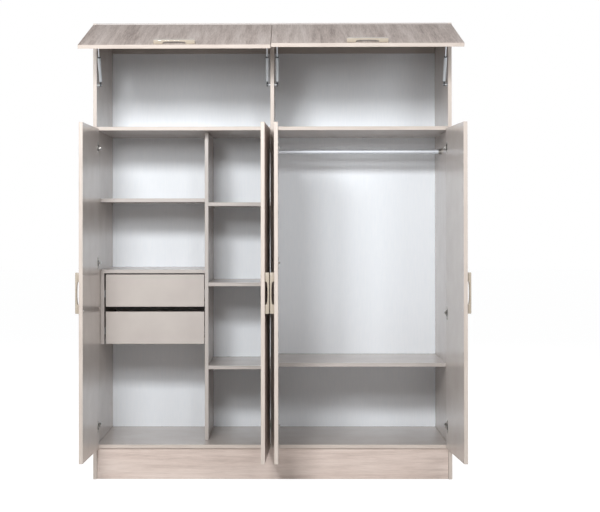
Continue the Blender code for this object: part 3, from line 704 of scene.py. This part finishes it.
def addRail():
    low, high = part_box("hanging_rail")
    centre, half, r = (low + high) / 2, (high.x - low.x) / 2, (high.z - low.z) / 2
    inner, eased, soft = r - rail["wall"], r - rail["soft"], rail["soft"]
    tube = spunShape([
        (eased, -half), (r, soft - half), (r, half - soft), (eased, half), (inner, half), (inner, -half),
        (eased, -half),
    ], rail["sides"])
    placed(tube, Matrix.Translation(centre) @ Matrix.Rotation(math.pi / 2, 4, "Y"))
    addPiece("hanging_rail_tube", tube, chromeTube, "carcass", ["hanging_rail"])


def addFlange(side, into):
    # a round foot with a socket for the rail and three screws
    name = f"rail_bracket_{side}"
    low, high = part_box(name)
    rim, sheet, depth = flange["radius"], flange["sheet"], flange["depth"]
    socket, outer = flange["socket"], flange["socket"] + flange["wall"]
    bm = spunShape([
        (0, 0), (rim, 0), (rim, sheet - flange["rounding"]), (rim - flange["rounding"], sheet),
        (outer + flange["fillet"], sheet), (outer, sheet + flange["fillet"]), (outer, depth - flange["soft"]),
        (outer - flange["soft"], depth), (socket, depth), (socket, sheet), (0, sheet),
    ], flange["sides"])
    for i in range(flange["screws"]):
        turn = Matrix.Rotation(math.tau * i / flange["screws"], 4, "Z")
        head = screwHead(flange["screwRadius"], flange["screwHeight"])
        joinInto(bm, head, turn @ Matrix.Translation((flange["screwAt"], 0, sheet)))
    wallX = low.x if into > 0 else high.x
    place = Matrix.Translation((wallX, (low.y + high.y) / 2, (low.z + high.z) / 2))
    place = place @ Matrix.Rotation(into * math.pi / 2, 4, "Y")
    addPiece(name + "_cast", placed(bm, place), nickelSteel, "carcass", [name])


shelfPin = {
    "radius": 0.0025, "length": 0.008, "collar": 0.004, "collarLength": 0.0015, "soft": 0.0004,
    "inset": 0.050,  # from the shelf's front and rear edges
    "sides": 20,
}


def addShelfPins():
    r, end, soft = shelfPin["radius"], shelfPin["length"], shelfPin["soft"]
    collar, collarEnd = shelfPin["collar"], shelfPin["collarLength"]
    profile = [
        (0, 0), (collar, 0), (collar, collarEnd - soft), (collar - soft, collarEnd), (r, collarEnd),
        (r, end - soft), (r - soft, end), (0, end),
    ]
    bm = bmesh.new()
    for name in ("shelf_left", "shelf_right", *narrowShelves):
        low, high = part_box(name)
        for x, into in ((low.x, 1), (high.x, -1)):
            turn = Matrix.Rotation(into * math.pi / 2, 4, "Y")
            for y in (low.y + shelfPin["inset"], high.y - shelfPin["inset"]):
                place = Matrix.Translation((x, y, low.z - collar)) @ turn
                joinInto(bm, spunShape(profile, shelfPin["sides"]), place)
    addPiece("shelf_pins", bm, nickelSteel, "carcass")


addRail()
addFlange("left", 1)
addFlange("right", -1)
addShelfPins()
print("rail and shelf pins made")


# floor, light and camera

studio = {
    "floorSize": 60.0, "floorDrop": 0.0005,
    "litShare": 0.2, "litLevel": 0.25,  # the lit paint's share of what is seen, and how bright it is lit
    "fill": 0.12, "fillColour": (0.88, 0.94, 1.0, 1.0),
    "lampColour": (0.95, 0.98, 1.0), "aim": (0.0, 0.1, 1.2),
    "lamps": {
        "keySoftbox": {"place": (-1.15, -3.7, 2.6), "size": (0.5, 0.4), "power": 54.0},
        "innerSoftbox": {"place": (-0.5, -3.7, 2.55), "size": (0.35, 0.4), "power": 34.0},
        "lowSoftbox": {"place": (-0.85, -3.7, 2.03), "size": (0.5, 0.4), "power": 24.0},
        "middleSoftbox": {"place": (0.5, -3.7, 2.48), "size": (0.35, 0.5), "power": 19.0},
        "sideSoftbox": {"place": (1.8, -3.7, 2.3), "size": (0.9, 0.9), "power": 27.0},
        "leftSoftbox": {"place": (-4.4, 0.35, 2.0), "size": (1.4, 1.4), "power": 80.0},
        "rightSoftbox": {"place": (4.4, 0.35, 2.0), "size": (1.4, 1.4), "power": 80.0},
        "rearSoftbox": {"place": (0.4, 4.3, 4.5), "size": (1.6, 1.2), "power": 160.0},
    },
}


def seenRays(tree):
    # 1 for the rays of the camera, of reflections and through glass
    rays = addNode(tree, "LightPath").outputs
    seen = addNode(tree, "Math", {0: rays["Is Camera Ray"], 1: rays["Is Glossy Ray"]}, operation="MAXIMUM")
    seen = addNode(tree, "Math", {0: seen.outputs[0], 1: rays["Is Transmission Ray"]}, operation="MAXIMUM")
    return seen.outputs[0]


def addFloor():
    bm = bmesh.new()
    bmesh.ops.create_grid(bm, x_segments=2, y_segments=2, size=studio["floorSize"] / 2)
    bmesh.ops.translate(bm, vec=(0, 0, -studio["floorDrop"]), verts=bm.verts)
    mesh = bpy.data.meshes.new("studio_floor")
    bm.to_mesh(mesh)
    bm.free()
    # dull white paint with faint clouds 0.7 m wide
    material, tree, shader = startMaterial("white painted studio floor", Roughness=0.7)
    place = addNode(tree, "TexCoord").outputs["Object"]
    clouds = addNode(tree, "TexNoise", {"Vector": place, "Scale": 1.5, "Detail": 2.0})
    ramp = addNode(tree, "ValToRGB", {"Fac": clouds.outputs["Fac"]})
    feed(tree, shader, Base_Color=setRamp(ramp, [(0.3, "#e6e6e6"), (0.7, "#eaeaea")]))
    # white where it is seen, with a share of the lit paint so that the shadow stays
    litShare, litLevel = studio["litShare"], studio["litLevel"]
    share = addNode(tree, "Math", {0: seenRays(tree), 1: 1.0 - litShare}, operation="MULTIPLY")
    strength = (1.0 - litShare * litLevel) / (1.0 - litShare)
    white = addNode(tree, "Emission", {"Color": (1, 1, 1, 1), "Strength": strength})
    mix = addNode(tree, "MixShader", {"Fac": share.outputs[0], 1: shader.outputs[0], 2: white.outputs[0]})
    tree.links.new(mix.outputs[0], tree.nodes["Material Output"].inputs["Surface"])
    mesh.materials.append(material)
    floor = bpy.data.objects.new("studio_floor", mesh)
    bpy.context.scene.collection.objects.link(floor)


def addWorld():
    world = bpy.data.worlds.new("studio")
    world.use_nodes = True
    bpy.context.scene.world = world
    tree = world.node_tree
    white = addNode(tree, "Background", {"Color": (1, 1, 1, 1), "Strength": 1.0})
    fill = addNode(tree, "Background", {"Color": studio["fillColour"], "Strength": studio["fill"]})
    mix = addNode(tree, "MixShader", {"Fac": seenRays(tree), 1: fill.outputs[0], 2: white.outputs[0]})
    tree.links.new(mix.outputs[0], tree.nodes["World Output"].inputs["Surface"])


def addLamp(name, lamp):
    light = bpy.data.lights.new(name, "AREA")
    light.shape = "RECTANGLE"
    light.size, light.size_y = lamp["size"]
    light.energy = lamp["power"]
    light.color = studio["lampColour"]
    ob = bpy.data.objects.new(name, light)
    ob.location = lamp["place"]
    ob.rotation_euler = (Vector(studio["aim"]) - Vector(lamp["place"])).to_track_quat("-Z", "Y").to_euler()
    ob.visible_glossy = lamp["place"][1] < 0  # only the front lamps show in the gloss
    bpy.context.scene.collection.objects.link(ob)


# the view was measured from points of the photograph: angles in radians, lengths in metres, sensor in
# millimetres, and a frame of 600 x 512 pixels
view = {
    "place": (0.0825, -6.861, 1.2437), "yaw": 0.0082, "pitch": 0.0068, "roll": -0.0011,
    "focalPixels": 1345.3, "centrePixels": (278.216, 214.929), "frame": (600, 512),
    "sensor": 36.0, "farthest": 100.0,
}


def addCamera():
    camera = bpy.data.cameras.new("camera")
    width, height = view["frame"]
    camera.sensor_width = view["sensor"]
    camera.lens = view["sensor"] * view["focalPixels"] / width
    camera.shift_x = (width / 2 - view["centrePixels"][0]) / width
    camera.shift_y = (view["centrePixels"][1] - height / 2) / width
    camera.clip_end = view["farthest"]
    yaw, pitch, roll = view["yaw"], view["pitch"], view["roll"]
    right = Vector((math.cos(yaw), math.sin(yaw), 0))
    ahead = Vector((-math.sin(yaw), math.cos(yaw), 0))
    up = Vector((0, 0, 1)) * math.cos(pitch) - ahead * math.sin(pitch)
    ahead = ahead * math.cos(pitch) + Vector((0, 0, 1)) * math.sin(pitch)
    side = right * math.cos(roll) + up * math.sin(roll)
    up = up * math.cos(roll) - right * math.sin(roll)
    ob = bpy.data.objects.new("camera", camera)
    ob.matrix_world = Matrix.Translation(view["place"]) @ Matrix((side, up, -ahead)).transposed().to_4x4()
    bpy.context.scene.collection.objects.link(ob)
    bpy.context.scene.camera = ob


addFloor()
addWorld()
for lampName, lamp in studio["lamps"].items():
    addLamp(lampName, lamp)
addCamera()
bpy.context.scene.view_settings.view_transform = "Standard"
print("floor, light and camera set")
